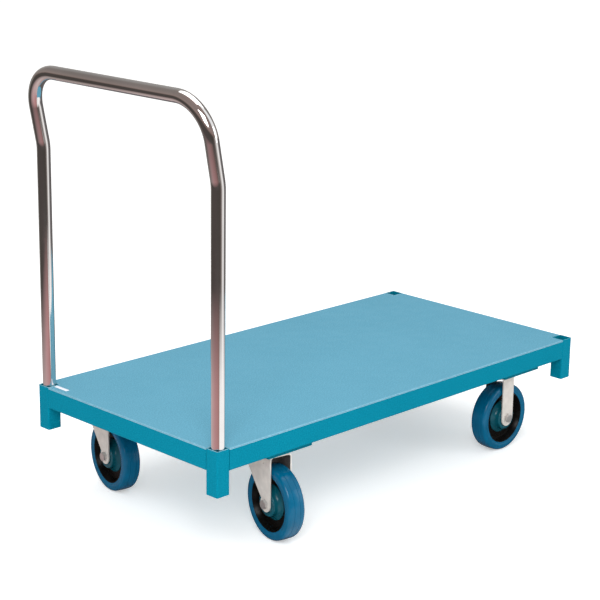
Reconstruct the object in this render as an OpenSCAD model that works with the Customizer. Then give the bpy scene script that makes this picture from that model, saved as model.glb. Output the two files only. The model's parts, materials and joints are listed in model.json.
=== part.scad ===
// Platform cart with a lift-out push handle, two swivel casters and two fixed casters.
// The origin is the middle of the deck's top face. +X points away from the handle,
// +Y to the left of a person pushing, +Z up.

/* [Deck] */
// Overall length of the deck, over the corner posts
deck_length = 1200; // [900:10:1500]
// Overall width of the deck, over the corner posts
deck_width = 600; // [560:10:800]
// Thickness of the deck sheet
deck_thickness = 3; // [2:0.5:4]
// Radius of the deck sheet's upper edge
deck_edge_radius = 2.5; // [0.5:0.5:4]
// Length of the blank label on the deck
label_length = 44; // [20:1:60]
// Width of the blank label on the deck
label_width = 10; // [8:1:24]
// Distance of the label's middle from the handle end
label_end_inset = 19; // [16:1:40]
// Gap between the label and the nearest post
label_post_gap = 4; // [2:1:40]
// Thickness of the blank label, which lies flush in a recess of the deck
label_thickness = 0.4; // [0.2:0.1:1]
// Corner radius of the blank label
label_corner_radius = 2; // [0.5:0.5:4]
// Gap between the label and the wall of its recess
label_play = 0.2; // [0.1:0.1:0.5]

/* [Frame rails] */
// Depth of the channel rails below the deck sheet
rail_depth = 47; // [40:1:65]
// Width of the rails' flanges
rail_flange = 25; // [15:1:27]
// Sheet thickness of the rails
rail_wall = 2.5; // [2:0.5:3.5]
// Outer radius of the rails' lower bend
rail_bend_radius = 4; // [4:0.5:8]
// Distance between the two cross rails
cross_rail_spacing = 400; // [200:10:560]

/* [Corner posts] */
// Wall of the square corner posts
post_wall = 2; // [1.5:0.5:3]
// Length of the corner posts, from the deck's top face down
post_length = 102; // [90:1:110]
// Outer corner radius of the posts
post_corner_radius = 3; // [2:0.5:5]
// Play between the handle tube and each wall of its socket
socket_play = 0.5; // [0.3:0.1:1.5]
// Height of the stop plates above the feet of the posts
stop_height = 7; // [2:1:30]
// Thickness of the stop plates in the posts
stop_thickness = 3; // [2:0.5:5]
// Drain hole in each stop plate
stop_hole_d = 10; // [6:1:16]
// Gap left for the weld where a piece fits round or inside a post
weld_gap = 0.2; // [0.1:0.1:0.5]

/* [Handle] */
// Outer diameter of the handle tube
tube_d = 30; // [25:1:38]
// Wall of the handle tube
tube_wall = 2; // [1.5:0.5:3]
// Straight length of the legs above the deck, up to the crank
leg_height = 538; // [350:2:600]
// Straight length between a crank and its upper corner
upper_leg = 77; // [40:1:160]
// Angle of the crank from the vertical
crank_angle = 11; // [5:1:20]
// Centre line radius of the crank bends
crank_radius = 120; // [80:5:160]
// Centre line radius of the two upper corners
corner_radius = 85; // [60:5:100]

/* [Caster layout] */
// Distance of every caster's centre from the deck's long side
caster_inset = 70; // [62:1:100]
// Distance of the right swivel caster's pivot from the handle end
right_swivel_x = 215; // [140:1:300]
// Distance of the left swivel caster's pivot from the handle end
left_swivel_x = 145; // [140:1:300]
// Distance of both fixed casters' axles from the front end
fixed_x = 191; // [140:1:300]
// Turn of the swivel casters at rest, in degrees from trailing to the right
swivel_heading = -10; // [-180:1:180]
// Height of a caster from the floor to the top of its plate
caster_height = 206; // [200:1:230]

/* [Mounting plates] */
// Length of the plates welded under the frame
mount_plate_length = 130; // [125:1:160]
// Thickness of the plates welded under the frame
mount_plate_thickness = 6; // [4:1:10]
// How far a mounting plate stays back from the long side
mount_plate_inset = 4; // [1:1:12]
// Room between the inner bolts and the stringer
nut_room = 12; // [9:1:20]

/* [Caster plate] */
// Length of a caster's top plate, along its wheel
caster_plate_length = 120; // [110:1:125]
// Width of a caster's top plate
caster_plate_width = 100; // [96:1:110]
// Thickness of a caster's top plate
caster_plate_thickness = 4; // [4:0.5:6]
// Corner radius of a caster's top plate
caster_plate_corner = 9; // [4:1:14]
// Bolt spacing along the deck
bolt_spacing_x = 96; // [94:1:98]
// Bolt spacing across the deck
bolt_spacing_y = 72; // [68:1:76]
// Diameter of the plate bolts
plate_bolt_d = 8; // [6:1:8]
// Clearance on the radius of a bolt in its hole
bolt_play = 0.5; // [0.2:0.1:1]

/* [Swivel head] */
// Diameter of the kingpin
kingpin_d = 14; // [10:1:18]
// Diameter of the kingpin's heads
kingpin_head_d = 26; // [22:1:30]
// Diameter of the race balls
ball_d = 6; // [5:0.5:6]
// Pitch circle diameter of the race balls
race_pcd = 56; // [48:1:60]
// How many balls are in a race
ball_count = 18; // [10:1:22]
// Radial room round a race ball
ball_play = 0.15; // [0.1:0.05:0.3]
// Gap between the caster plate and the fork's race
race_gap = 1.5; // [1:0.5:2]
// Height of the fork's race above its crown
race_height = 4.5; // [4.5:0.5:7]
// Distance of a swivel wheel's axle behind its pivot
swivel_trail = 28; // [20:1:40]

/* [Forks] */
// Sheet thickness of the forks
fork_wall = 3; // [2.5:0.5:4]
// Space between a fork's legs
fork_gap = 50; // [50:1:54]
// Outer radius of the bends between crown and legs
fork_bend_radius = 9; // [6:1:12]
// Radius of a swivel fork's leg round the axle
swivel_leg_radius = 18; // [17:1:20]
// Reach of a swivel fork's leg in front of its axle
swivel_leg_reach = 70; // [60:1:75]
// Height above the axle at which a swivel leg reaches its full width
swivel_leg_shoulder = 74; // [60:1:85]
// Width of a fixed fork's legs
fixed_leg_width = 40; // [36:1:44]
// Length of a fixed fork's crown, along its wheel
fixed_crown_length = 84; // [70:1:100]
// Radius of the flare between a fixed fork's leg and crown
fixed_flare_radius = 20; // [14:1:20]
// Height of a fixed fork's crown edge
fixed_crown_edge = 6; // [4:1:10]

/* [Wheels] */
// Diameter of a wheel over its tyre
wheel_d = 168; // [150:1:172]
// Width of a tyre
tyre_width = 44; // [40:1:46]
// Radius of a tyre's shoulders
tyre_shoulder = 8; // [5:1:10]
// Diameter of the rim under the tyre
rim_d = 128; // [116:1:132]
// How far the rim's edge stays behind the tyre's side
rim_setback = 2; // [1:0.5:3]
// Thickness of the rim's web
web_thickness = 10; // [8:1:14]
// Outer diameter of the rim's hub
hub_d = 50; // [46:1:50]
// Diameter of the two moulding grooves on the tread
groove_d = 1.2; // [0.6:0.2:2]
// Distance of the moulding grooves from the tread's middle
groove_offset = 11; // [6:1:13]

/* [Axles] */
// Diameter of the axle bolts
axle_d = 12; // [10:1:14]
// Width across flats of the axle bolts and nuts
axle_hex = 19; // [17:1:22]
// Outer diameter of the sleeve round an axle
sleeve_d = 17; // [16:0.5:20]
// Outer diameter of the wheel bearings
bearing_d = 40; // [35:1:42]
// Width of a wheel bearing
bearing_width = 12; // [10:1:14]
// Radial running play of a bearing on its sleeve
bearing_play = 0.05; // [0.02:0.01:0.1]
// Outer diameter of a thread guard's front
guard_d = 58; // [58:1:62]
// Outer diameter of a thread guard's foot
guard_foot_d = 80; // [74:1:90]
// Gap between a thread guard and the fork's leg
guard_gap = 0.8; // [0.5:0.1:1.5]

/* [Hidden] */
$fn = 96;
eps = 1;
half_length = deck_length / 2;
half_width = deck_width / 2;
edge_radius = min(deck_edge_radius, deck_thickness - 0.1);
frame_depth = deck_thickness + rail_depth;
plate_top = -frame_depth - mount_plate_thickness;

socket_width = tube_d + 2 * socket_play;
post_size = socket_width + 2 * post_wall;
post_inner_radius = max(post_corner_radius - post_wall, 0.5);
socket_depth = post_length - stop_height - stop_thickness;
post_x = half_length - post_size / 2;
post_y = half_width - post_size / 2;

stringer_start = caster_inset + bolt_spacing_y / 2 + nut_room;
stringer_end = stringer_start + rail_flange;
cross_rail_length = deck_width - 2 * stringer_end;

// The bends are joined by a thin disc a hair wider than the tube, so that they fuse into one
bend_lap = 0.1;
bend_step = 0.02;

label_x = -half_length + label_end_inset;
label_y = half_width - post_size - label_post_gap - label_length / 2;

wheel_r = wheel_d / 2;
axle_drop = caster_height - wheel_r;
fork_width = fork_gap + 2 * fork_wall;
crown_top = caster_plate_thickness + race_gap + race_height;
fork_bottom = axle_drop + 2 * swivel_leg_radius;
axle_play = 0.2;
sleeve_play = 0.1;

// Heads and nuts have the proportions of standard metric fasteners
axle_head = 0.63 * axle_d;
axle_nut_height = 0.85 * axle_d;
plate_hex = 1.625 * plate_bolt_d;
plate_head = 0.66 * plate_bolt_d;
plate_nut_height = 0.8 * plate_bolt_d;

kingpin_head = 5;
kingpin_play = 0.08;
kingpin_head_gap = 0.24;

hub_width = fork_gap - 5;
guard_face = fork_gap / 2 - guard_gap;
guard_wall = 1.5;
guard_foot = 2.2;

// Name, pivot along X, side of the deck and heading of each caster
SWIVELS = [
    ["right_swivel", right_swivel_x - half_length, -1, swivel_heading],
    ["left_swivel", left_swivel_x - half_length, 1, swivel_heading]
];
FIXED = [
    ["right_fixed", half_length - fixed_x, -1, 90],
    ["left_fixed", half_length - fixed_x, 1, -90]
];
CASTERS = concat(SWIVELS, FIXED);

// ---- shared shapes ----

// A rectangle centred on the origin, with all four corners rounded
module rounded_rectangle(length, width, radius) {
    square([length - 2 * radius, width], center = true);
    square([length, width - 2 * radius], center = true);
    for (sx = [-1, 1], sy = [-1, 1])
        translate([sx * (length / 2 - radius), sy * (width / 2 - radius)]) circle(radius);
}

// A rectangle from the origin to (width, height), rounded at its corner on the origin
module corner_rectangle(width, height, radius) {
    translate([radius, 0]) square([width - radius, height]);
    translate([0, radius]) square([width, height - radius]);
    translate([radius, radius]) circle(radius);
}

// A channel section: web on x = 0, top edge on y = 0, only the lower bend rounded
module channel_section() {
    translate([0, -rail_depth]) difference() {
        corner_rectangle(rail_flange, rail_depth, rail_bend_radius);
        translate([rail_wall, rail_wall])
            corner_rectangle(rail_flange, rail_depth - 2 * rail_wall, rail_bend_radius - rail_wall);
    }
}

// A channel along +X from x = 0, web on y = 0, flanges towards +Y, top face on z = 0
module channel(length) {
    rotate([90, 0, 90]) linear_extrude(length) channel_section();
}

// A hexagonal head or nut on z = 0 with a chamfered top
module hex_head(flats, height) {
    top_r = 0.47 * flats;
    intersection() {
        cylinder(h = height, d = flats / cos(30), $fn = 6);
        cylinder(h = height, r1 = top_r + height * tan(60), r2 = top_r);
    }
}

// A shape turned about the wheel's axis, drawn as radius and distance along the axle
module turned() {
    rotate([0, 90, 0]) rotate_extrude() children();
}

// The same piece on both sides of the wheel's middle
module both_sides() {
    children();
    mirror([1, 0, 0]) children();
}

// Bolt positions round a caster's centre, along the deck's own directions
module at_plate_bolts() {
    for (sx = [-1, 1], sy = [-1, 1])
        translate([sx * bolt_spacing_x / 2, sy * bolt_spacing_y / 2, 0]) children();
}

// The top of a caster's plate, along the deck's own directions
module at_plate(caster) {
    translate([caster[1], caster[2] * (half_width - caster_inset), plate_top]) children();
}

// A caster's own frame: pivot on the origin, axle along X, wheel trailing towards -Y
module at_caster(caster) {
    at_plate(caster) rotate([0, 0, caster[3]]) children();
}

module at_swivel_axle(caster) {
    at_caster(caster) translate([0, -swivel_trail, -axle_drop]) children();
}

module at_fixed_axle(caster) {
    at_caster(caster) translate([0, 0, -axle_drop]) children();
}

// ---- deck and frame ----

// One direction of the deck sheet, with both of its upper edges rounded
module deck_section(width) {
    translate([-width / 2, -deck_thickness]) square([width, deck_thickness - edge_radius]);
    translate([-width / 2 + edge_radius, -edge_radius]) square([width - 2 * edge_radius, edge_radius]);
    for (side = [-1, 1])
        translate([side * (width / 2 - edge_radius), -edge_radius]) intersection() {
            circle(edge_radius);
            translate([-edge_radius, 0]) square([2 * edge_radius, edge_radius]);
        }
}

module label_outline(play = 0) {
    translate([label_x, label_y])
        rounded_rectangle(label_width + 2 * play, label_length + 2 * play, label_corner_radius + play);
}

module deck_sheet() {
    notch = post_size + weld_gap;
    color("mediumturquoise") difference() {
        intersection() {
            rotate([90, 0, 90]) translate([0, 0, -half_length])
                linear_extrude(deck_length) deck_section(deck_width);
            rotate([90, 0, 0]) translate([0, 0, -half_width])
                linear_extrude(deck_width) deck_section(deck_length);
        }
        for (sx = [-1, 1], sy = [-1, 1])
            translate([sx * half_length, sy * half_width, 0]) cube(2 * notch, center = true);
        translate([0, 0, -label_thickness]) linear_extrude(2 * label_thickness) label_outline(label_play);
    }
}

module deck_label() {
    color("white") translate([0, 0, -label_thickness])
        linear_extrude(label_thickness) label_outline();
}

module side_rail(side) {
    color("darkcyan") translate([-half_length + post_size, side * half_width, -deck_thickness])
        mirror([0, side > 0 ? 1 : 0, 0]) channel(deck_length - 2 * post_size);
}

module end_rail(end) {
    color("darkcyan") translate([end * half_length, -half_width + post_size, -deck_thickness])
        mirror([end < 0 ? 1 : 0, 0, 0]) rotate([0, 0, 90]) channel(deck_width - 2 * post_size);
}

module stringer(side) {
    web_y = side * (half_width - stringer_end);
    color("darkcyan") translate([-half_length + rail_flange, web_y, -deck_thickness])
        mirror([0, side < 0 ? 1 : 0, 0]) channel(deck_length - 2 * rail_flange);
}

module cross_rail(end) {
    color("darkcyan")
        translate([end * cross_rail_spacing / 2, -cross_rail_length / 2, -deck_thickness])
        mirror([end < 0 ? 1 : 0, 0, 0]) rotate([0, 0, 90]) channel(cross_rail_length);
}

module post(end, side) {
    color("darkcyan") translate([end * post_x, side * post_y, -post_length])
        linear_extrude(post_length) difference() {
            rounded_rectangle(post_size, post_size, post_corner_radius);
            rounded_rectangle(socket_width, socket_width, post_inner_radius);
        }
}

module socket_stops() {
    stop_width = socket_width - 2 * weld_gap;
    color("darkcyan") for (end = [-1, 1], side = [-1, 1])
        translate([end * post_x, side * post_y, -socket_depth - stop_thickness])
            linear_extrude(stop_thickness) difference() {
                rounded_rectangle(stop_width, stop_width, post_inner_radius);
                circle(d = stop_hole_d);
            }
}

module mount_plate(caster) {
    plate_width = stringer_end - mount_plate_inset;
    color("teal") difference() {
        translate([
            caster[1] - mount_plate_length / 2,
            caster[2] > 0 ? half_width - stringer_end : mount_plate_inset - half_width,
            plate_top
        ]) cube([mount_plate_length, plate_width, mount_plate_thickness]);
        at_plate(caster) at_plate_bolts() translate([0, 0, -eps])
            cylinder(h = mount_plate_thickness + 2 * eps, r = plate_bolt_d / 2 + bolt_play);
    }
}

module plate_bolts() {
    grip = caster_plate_thickness + mount_plate_thickness;
    color("silver") for (caster = CASTERS)
        at_plate(caster) at_plate_bolts() translate([0, 0, -caster_plate_thickness]) {
            mirror([0, 0, 1]) hex_head(plate_hex, plate_head);
            cylinder(h = grip + plate_nut_height + plate_bolt_d / 4, d = plate_bolt_d);
        }
}

module plate_nuts() {
    color("silver") for (caster = CASTERS)
        at_plate(caster) at_plate_bolts() translate([0, 0, mount_plate_thickness]) difference() {
            hex_head(plate_hex, plate_nut_height);
            translate([0, 0, -eps]) cylinder(h = plate_nut_height + 2 * eps, d = plate_bolt_d);
        }
}

// ---- handle ----

// One leg of the handle up to the end of its crank bend, as a rod of a given radius
// whose foot goes an extra length past the stop plate
module lower_run(radius, extra) {
    leg_foot = -socket_depth - extra;
    translate([0, post_y, leg_foot]) cylinder(h = leg_height - leg_foot, r = radius);
    translate([-crank_radius, post_y, leg_height]) rotate([90, 0, 0])
        rotate_extrude(angle = crank_angle) translate([crank_radius, 0]) circle(radius);
}

// One upper leg and its corner bend, from the end of the crank bend
module upper_run(radius) {
    translate([0, post_y, -bend_lap]) cylinder(h = 2 * bend_lap, r = radius + bend_step);
    translate([0, post_y, 0]) cylinder(h = upper_leg, r = radius);
    translate([0, post_y - corner_radius, upper_leg]) rotate([90, 0, 90])
        rotate_extrude(angle = 90) translate([corner_radius, 0]) circle(radius);
}

// The whole handle as a solid rod: both legs, both cranks, both corners and the top bar
module handle_rod(radius, extra) {
    half_bar = post_y - corner_radius;
    lower_run(radius, extra);
    mirror([0, 1, 0]) lower_run(radius, extra);
    translate([-crank_radius, 0, leg_height]) rotate([0, -crank_angle, 0])
        translate([crank_radius, 0, 0]) {
            upper_run(radius);
            mirror([0, 1, 0]) upper_run(radius);
            translate([0, -half_bar, upper_leg + corner_radius]) rotate([-90, 0, 0])
                cylinder(h = 2 * half_bar, r = radius);
        }
}

module push_handle() {
    color("gainsboro") translate([-post_x, 0, 0]) difference() {
        handle_rod(tube_d / 2, 0);
        handle_rod(tube_d / 2 - tube_wall, eps);
    }
}

// ---- swivel head ----

module race_groove() {
    rotate_extrude() translate([race_pcd / 2, 0]) circle(ball_d / 2 + ball_play, $fn = 48);
}

module at_race() {
    translate([0, 0, -caster_plate_thickness - race_gap / 2]) children();
}

// The hole pattern turns with the deck, so it is cut in the deck's directions
module top_plate(caster) {
    color("silver") at_plate(caster) difference() {
        translate([0, 0, -caster_plate_thickness]) linear_extrude(caster_plate_thickness)
            rounded_rectangle(caster_plate_length, caster_plate_width, caster_plate_corner);
        at_plate_bolts() translate([0, 0, -caster_plate_thickness - eps])
            cylinder(h = caster_plate_thickness + 2 * eps, r = plate_bolt_d / 2 + bolt_play);
        translate([0, 0, -caster_plate_thickness]) cylinder(
            h = caster_plate_thickness + kingpin_play,
            d1 = kingpin_d + 2 * kingpin_play,
            d2 = kingpin_head_d + 4 * kingpin_play
        );
        at_race() race_groove();
    }
}

module race_balls() {
    color("silver") at_race() for (i = [0 : ball_count - 1])
        rotate([0, 0, i * 360 / ball_count]) translate([race_pcd / 2, 0, 0])
            sphere(d = ball_d, $fn = 24);
}

module kingpin() {
    crown_underside = crown_top + fork_wall;
    color("silver") {
        translate([0, 0, -caster_plate_thickness])
            cylinder(h = caster_plate_thickness, d1 = kingpin_d, d2 = kingpin_head_d);
        translate([0, 0, -crown_underside - kingpin_head])
            cylinder(h = crown_underside + kingpin_head - caster_plate_thickness, d = kingpin_d);
        translate([0, 0, -crown_underside - kingpin_head_gap - kingpin_head])
            cylinder(h = kingpin_head, d1 = kingpin_head_d - kingpin_head, d2 = kingpin_head_d);
    }
}

// ---- forks ----

// The bent section of a fork seen along its wheel: a crown and two legs
module fork_section(height) {
    module arch(width, top, radius) {
        translate([-width / 2, -height]) square([width, height - top - radius]);
        translate([-width / 2 + radius, -top - radius]) square([width - 2 * radius, radius]);
        for (side = [-1, 1])
            translate([side * (width / 2 - radius), -top - radius]) circle(radius);
    }
    difference() {
        arch(fork_width, 0, fork_bend_radius);
        translate([0, -eps]) arch(fork_gap, fork_wall - eps, fork_bend_radius - fork_wall);
    }
}

// The outline of a swivel fork's leg: axle on the origin, x towards the front, y up
module swivel_leg_outline(top) {
    reach = swivel_leg_reach;
    shoulder = swivel_leg_shoulder;
    turn = atan2(shoulder, reach) - acos(swivel_leg_radius / norm([reach, shoulder]));
    circle(swivel_leg_radius);
    polygon([
        [-swivel_leg_radius, 0],
        [swivel_leg_radius * cos(turn), swivel_leg_radius * sin(turn)],
        [reach, shoulder],
        [reach, top],
        [-swivel_leg_radius, top]
    ]);
}

// The outline of a fixed fork's leg, flaring into its crown: axle on the origin, y up
module fixed_leg_outline(top) {
    half_leg = fixed_leg_width / 2;
    flare = fixed_flare_radius;
    flare_top = top - fixed_crown_edge;
    circle(half_leg);
    translate([-half_leg, 0]) square([fixed_leg_width, top]);
    translate([-fixed_crown_length / 2, flare_top]) square([fixed_crown_length, fixed_crown_edge]);
    difference() {
        translate([-half_leg - flare, flare_top - flare]) square([fixed_leg_width + 2 * flare, flare]);
        for (side = [-1, 1])
            translate([side * (half_leg + flare), flare_top - flare]) circle(flare);
    }
}

// A fork bent from one sheet, its outline cut by the children, with its two axle holes
module fork_sheet(top, axle_y) {
    height = axle_drop - top + fork_bottom;
    difference() {
        intersection() {
            translate([0, deck_width / 2, -top]) rotate([90, 0, 0])
                linear_extrude(deck_width) fork_section(height);
            translate([-fork_width, axle_y, -axle_drop]) rotate([90, 0, 90])
                linear_extrude(2 * fork_width) children();
        }
        translate([-fork_width, axle_y, -axle_drop]) rotate([0, 90, 0])
            cylinder(h = 2 * fork_width, d = axle_d + 2 * axle_play);
    }
}

// Two shallow pressed dimples in the outer face of each leg
module leg_dimples(y_positions, z) {
    dimple_d = 4;
    dimple_depth = 1;
    both_sides() for (y = y_positions)
        translate([fork_width / 2 - dimple_depth, y, z]) rotate([0, 90, 0])
            cylinder(h = dimple_depth + eps, d = dimple_d, $fn = 32);
}

module swivel_fork() {
    race_d = race_pcd + 2 * ball_d;
    middle = (swivel_leg_reach - swivel_leg_radius) / 2 - swivel_trail;
    dimple_spacing = 36;
    dimple_drop = 20;
    color("lightgray") difference() {
        union() {
            fork_sheet(crown_top, -swivel_trail)
                swivel_leg_outline(axle_drop - crown_top + eps);
            translate([0, 0, -crown_top - fork_wall / 2])
                cylinder(h = race_height + fork_wall / 2, d = race_d);
        }
        translate([0, 0, -crown_top - fork_wall - eps])
            cylinder(h = race_height + fork_wall + 2 * eps, r = kingpin_d / 2 + kingpin_play);
        at_race() race_groove();
        leg_dimples(
            [middle - dimple_spacing / 2, middle + dimple_spacing / 2], -crown_top - dimple_drop
        );
    }
}

// A fixed fork: legs and crown bent from one sheet and welded under its own top plate
module fixed_fork() {
    top = caster_plate_thickness;
    slot_width = 4;
    slot_length = 18;
    slot_depth = 1;
    slot_drop = 22;
    dimple_drop = 30;
    dimple_inset = 6;
    color("lightgray") difference() {
        union() {
            fork_sheet(top, 0) fixed_leg_outline(axle_drop - top + eps);
            translate([0, 0, -top]) linear_extrude(top)
                rounded_rectangle(caster_plate_width, caster_plate_length, caster_plate_corner);
        }
        rotate([0, 0, 90]) at_plate_bolts() translate([0, 0, -top - eps])
            cylinder(h = top + 2 * eps, r = plate_bolt_d / 2 + bolt_play);
        both_sides() translate([fork_width / 2 - slot_depth, -slot_length / 2, -top - slot_drop])
            cube([slot_depth + eps, slot_length, slot_width]);
        leg_dimples([fixed_leg_width / 2 - dimple_inset], -top - dimple_drop);
    }
}

// ---- axles and wheels, drawn with the axle on the origin and along X ----

module axle_bolt() {
    grip = fork_width / 2;
    color("silver") {
        translate([-grip, 0, 0]) rotate([0, -90, 0]) hex_head(axle_hex, axle_head);
        translate([-grip, 0, 0]) rotate([0, 90, 0])
            cylinder(h = 2 * grip + axle_nut_height + axle_d / 4, d = axle_d);
    }
}

module axle_nut() {
    color("silver") translate([fork_width / 2, 0, 0]) rotate([0, 90, 0]) difference() {
        hex_head(axle_hex, axle_nut_height);
        translate([0, 0, -eps]) cylinder(h = axle_nut_height + 2 * eps, d = axle_d);
    }
}

module axle_sleeve() {
    color("silver") translate([-fork_gap / 2, 0, 0]) rotate([0, 90, 0]) difference() {
        cylinder(h = fork_gap, d = sleeve_d);
        translate([0, 0, -eps]) cylinder(h = fork_gap + 2 * eps, d = axle_d + 2 * sleeve_play);
    }
}

module bearings() {
    bore = sleeve_d / 2 + bearing_play;
    color("dimgray") both_sides() turned()
        translate([bore, -hub_width / 2])
            square([bearing_d / 2 - bore, bearing_width]);
}

// A stepped cap over the hub: a flat face round the sleeve, a barrel and a flared foot
module thread_guards() {
    sleeve_room = sleeve_d / 2 + guard_gap;
    hub_room = hub_d / 2 + weld_gap;
    barrel = guard_d / 2;
    barrel_corner = 3;
    barrel_height = 9;
    barrel_foot = guard_face - barrel_height;
    foot = web_thickness / 2 + weld_gap;
    foot_lip = 4;
    wall_step = 1;
    color("darkcyan") both_sides() mirror([1, 0, 0]) turned() {
        translate([sleeve_room, guard_face - guard_wall])
            square([barrel - barrel_corner - sleeve_room, guard_wall]);
        translate([barrel - barrel_corner, guard_face - barrel_corner]) intersection() {
            circle(barrel_corner);
            square(barrel_corner);
        }
        polygon([
            [hub_room, barrel_foot - wall_step],
            [hub_room, guard_face - guard_wall],
            [barrel - barrel_corner, guard_face - guard_wall],
            [barrel - barrel_corner, guard_face - barrel_corner],
            [barrel, guard_face - barrel_corner],
            [barrel, barrel_foot],
            [guard_foot_d / 2, foot + guard_foot],
            [guard_foot_d / 2, foot],
            [guard_foot_d / 2 - foot_lip, foot]
        ]);
    }
}

module rim() {
    rim_r = rim_d / 2;
    rim_half = tyre_width / 2 - rim_setback;
    web = web_thickness / 2;
    lip = 2.5;
    dish = 7.5;
    bevel = 2;
    bore_r = bearing_d / 2 - 3;
    color("dimgray") both_sides() turned() polygon([
        [rim_r, 0],
        [rim_r, -rim_half],
        [rim_r - lip, -rim_half],
        [rim_r - lip - dish, -web - bevel],
        [rim_r - lip - dish - bevel, -web],
        [hub_d / 2 + bevel, -web],
        [hub_d / 2, -web - bevel],
        [hub_d / 2, -hub_width / 2],
        [bearing_d / 2, -hub_width / 2],
        [bearing_d / 2, bearing_width - hub_width / 2],
        [bore_r, bearing_width - hub_width / 2],
        [bore_r, 0]
    ]);
}

module tyre() {
    rim_r = rim_d / 2;
    color("royalblue") turned() difference() {
        union() {
            translate([rim_r, -tyre_width / 2]) square([wheel_r - rim_r - tyre_shoulder, tyre_width]);
            translate([rim_r, -tyre_width / 2 + tyre_shoulder])
                square([wheel_r - rim_r, tyre_width - 2 * tyre_shoulder]);
            for (side = [-1, 1])
                translate([wheel_r - tyre_shoulder, side * (tyre_width / 2 - tyre_shoulder)])
                    circle(tyre_shoulder);
        }
        for (side = [-1, 1])
            translate([wheel_r, side * groove_offset]) circle(d = groove_d, $fn = 16);
    }
}

// ---- every node, drawn one at a time or all together ----

deck_sheet();
deck_label();
side_rail(-1);  // side_rail_right
side_rail(1);  // side_rail_left
end_rail(-1);  // end_rail_rear
end_rail(1);  // end_rail_front
stringer(-1);  // stringer_right
stringer(1);  // stringer_left
cross_rail(-1);  // cross_rail_rear
cross_rail(1);  // cross_rail_front
post(-1, -1);  // post_rear_right
post(-1, 1);  // post_rear_left
post(1, -1);  // post_front_right
post(1, 1);  // post_front_left
socket_stops();
push_handle();
plate_bolts();
plate_nuts();

for (caster = CASTERS) {
    mount_plate(caster);
}

for (caster = SWIVELS) {
    top_plate(caster);
    at_caster(caster) race_balls();
    at_caster(caster) kingpin();
    at_caster(caster) swivel_fork();
    at_swivel_axle(caster) axle_bolt();
    at_swivel_axle(caster) axle_nut();
    at_swivel_axle(caster) axle_sleeve();
    at_swivel_axle(caster) bearings();
    at_swivel_axle(caster) thread_guards();
    at_swivel_axle(caster) rim();
    at_swivel_axle(caster) tyre();
}

for (caster = FIXED) {
    at_caster(caster) fixed_fork();
    at_fixed_axle(caster) axle_bolt();  // fixed_axle_bolts
    at_fixed_axle(caster) axle_nut();  // fixed_axle_nuts
    at_fixed_axle(caster) axle_sleeve();
    at_fixed_axle(caster) bearings();
    at_fixed_axle(caster) thread_guards();
    at_fixed_axle(caster) rim();
    at_fixed_axle(caster) tyre();
}
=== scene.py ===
import json
import math

import bmesh
import bpy
from mathutils import Matrix, Vector

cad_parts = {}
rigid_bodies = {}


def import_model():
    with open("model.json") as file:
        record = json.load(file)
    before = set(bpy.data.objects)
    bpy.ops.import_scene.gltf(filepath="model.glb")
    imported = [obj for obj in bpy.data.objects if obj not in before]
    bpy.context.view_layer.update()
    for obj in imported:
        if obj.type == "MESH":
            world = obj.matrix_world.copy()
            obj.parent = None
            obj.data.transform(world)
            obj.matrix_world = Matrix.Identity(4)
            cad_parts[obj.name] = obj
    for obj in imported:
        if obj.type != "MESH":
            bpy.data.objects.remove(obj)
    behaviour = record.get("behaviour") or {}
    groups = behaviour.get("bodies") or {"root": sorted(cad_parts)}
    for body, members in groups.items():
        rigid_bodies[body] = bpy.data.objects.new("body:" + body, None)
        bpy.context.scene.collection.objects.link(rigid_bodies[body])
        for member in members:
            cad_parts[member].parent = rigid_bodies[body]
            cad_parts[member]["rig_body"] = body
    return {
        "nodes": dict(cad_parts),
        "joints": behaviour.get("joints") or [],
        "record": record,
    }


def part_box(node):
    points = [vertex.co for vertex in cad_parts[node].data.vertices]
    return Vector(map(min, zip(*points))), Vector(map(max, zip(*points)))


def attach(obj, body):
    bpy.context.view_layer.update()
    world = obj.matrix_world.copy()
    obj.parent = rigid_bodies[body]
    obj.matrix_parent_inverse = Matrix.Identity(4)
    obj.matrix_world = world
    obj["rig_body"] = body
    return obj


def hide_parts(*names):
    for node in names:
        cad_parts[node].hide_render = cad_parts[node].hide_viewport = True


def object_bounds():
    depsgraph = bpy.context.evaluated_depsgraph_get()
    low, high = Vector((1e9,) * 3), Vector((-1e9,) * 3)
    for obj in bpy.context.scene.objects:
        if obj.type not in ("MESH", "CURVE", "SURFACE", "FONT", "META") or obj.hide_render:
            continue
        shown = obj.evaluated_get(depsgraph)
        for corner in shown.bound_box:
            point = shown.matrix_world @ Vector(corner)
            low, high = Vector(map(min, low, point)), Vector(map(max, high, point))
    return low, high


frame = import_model()
nodes = frame["nodes"]
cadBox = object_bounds()
mm = 0.001
print("frame loaded:", len(nodes), "nodes")


def startMaterial(name, colour, roughness, metallic=0.0):
    material = bpy.data.materials.new(name)
    material.use_nodes = True
    shader = material.node_tree.nodes["Principled BSDF"]
    shader.inputs["Base Color"].default_value = (*colour, 1)
    shader.inputs["Roughness"].default_value = roughness
    shader.inputs["Metallic"].default_value = metallic
    return material


def addNode(material, kind, **settings):
    node = material.node_tree.nodes.new(kind)
    for key, value in settings.items():
        setattr(node, key, value)
    return node


def objectPoint(material):
    return addNode(material, "ShaderNodeTexCoord").outputs["Object"]


def addNoise(material, scale, detail):
    noise = addNode(material, "ShaderNodeTexNoise")
    noise.inputs["Scale"].default_value = scale
    noise.inputs["Detail"].default_value = detail
    material.node_tree.links.new(objectPoint(material), noise.inputs["Vector"])
    return noise.outputs["Fac"]


def ramp(material, value, *stops):
    node = addNode(material, "ShaderNodeValToRGB")
    elements = node.color_ramp.elements
    for element, (position, colour) in zip(elements, (stops[0], stops[-1])):
        element.position, element.color = position, (*colour, 1)
    for position, colour in stops[1:-1]:
        elements.new(position).color = (*colour, 1)
    material.node_tree.links.new(value, node.inputs["Fac"])
    return node.outputs["Color"]


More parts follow.
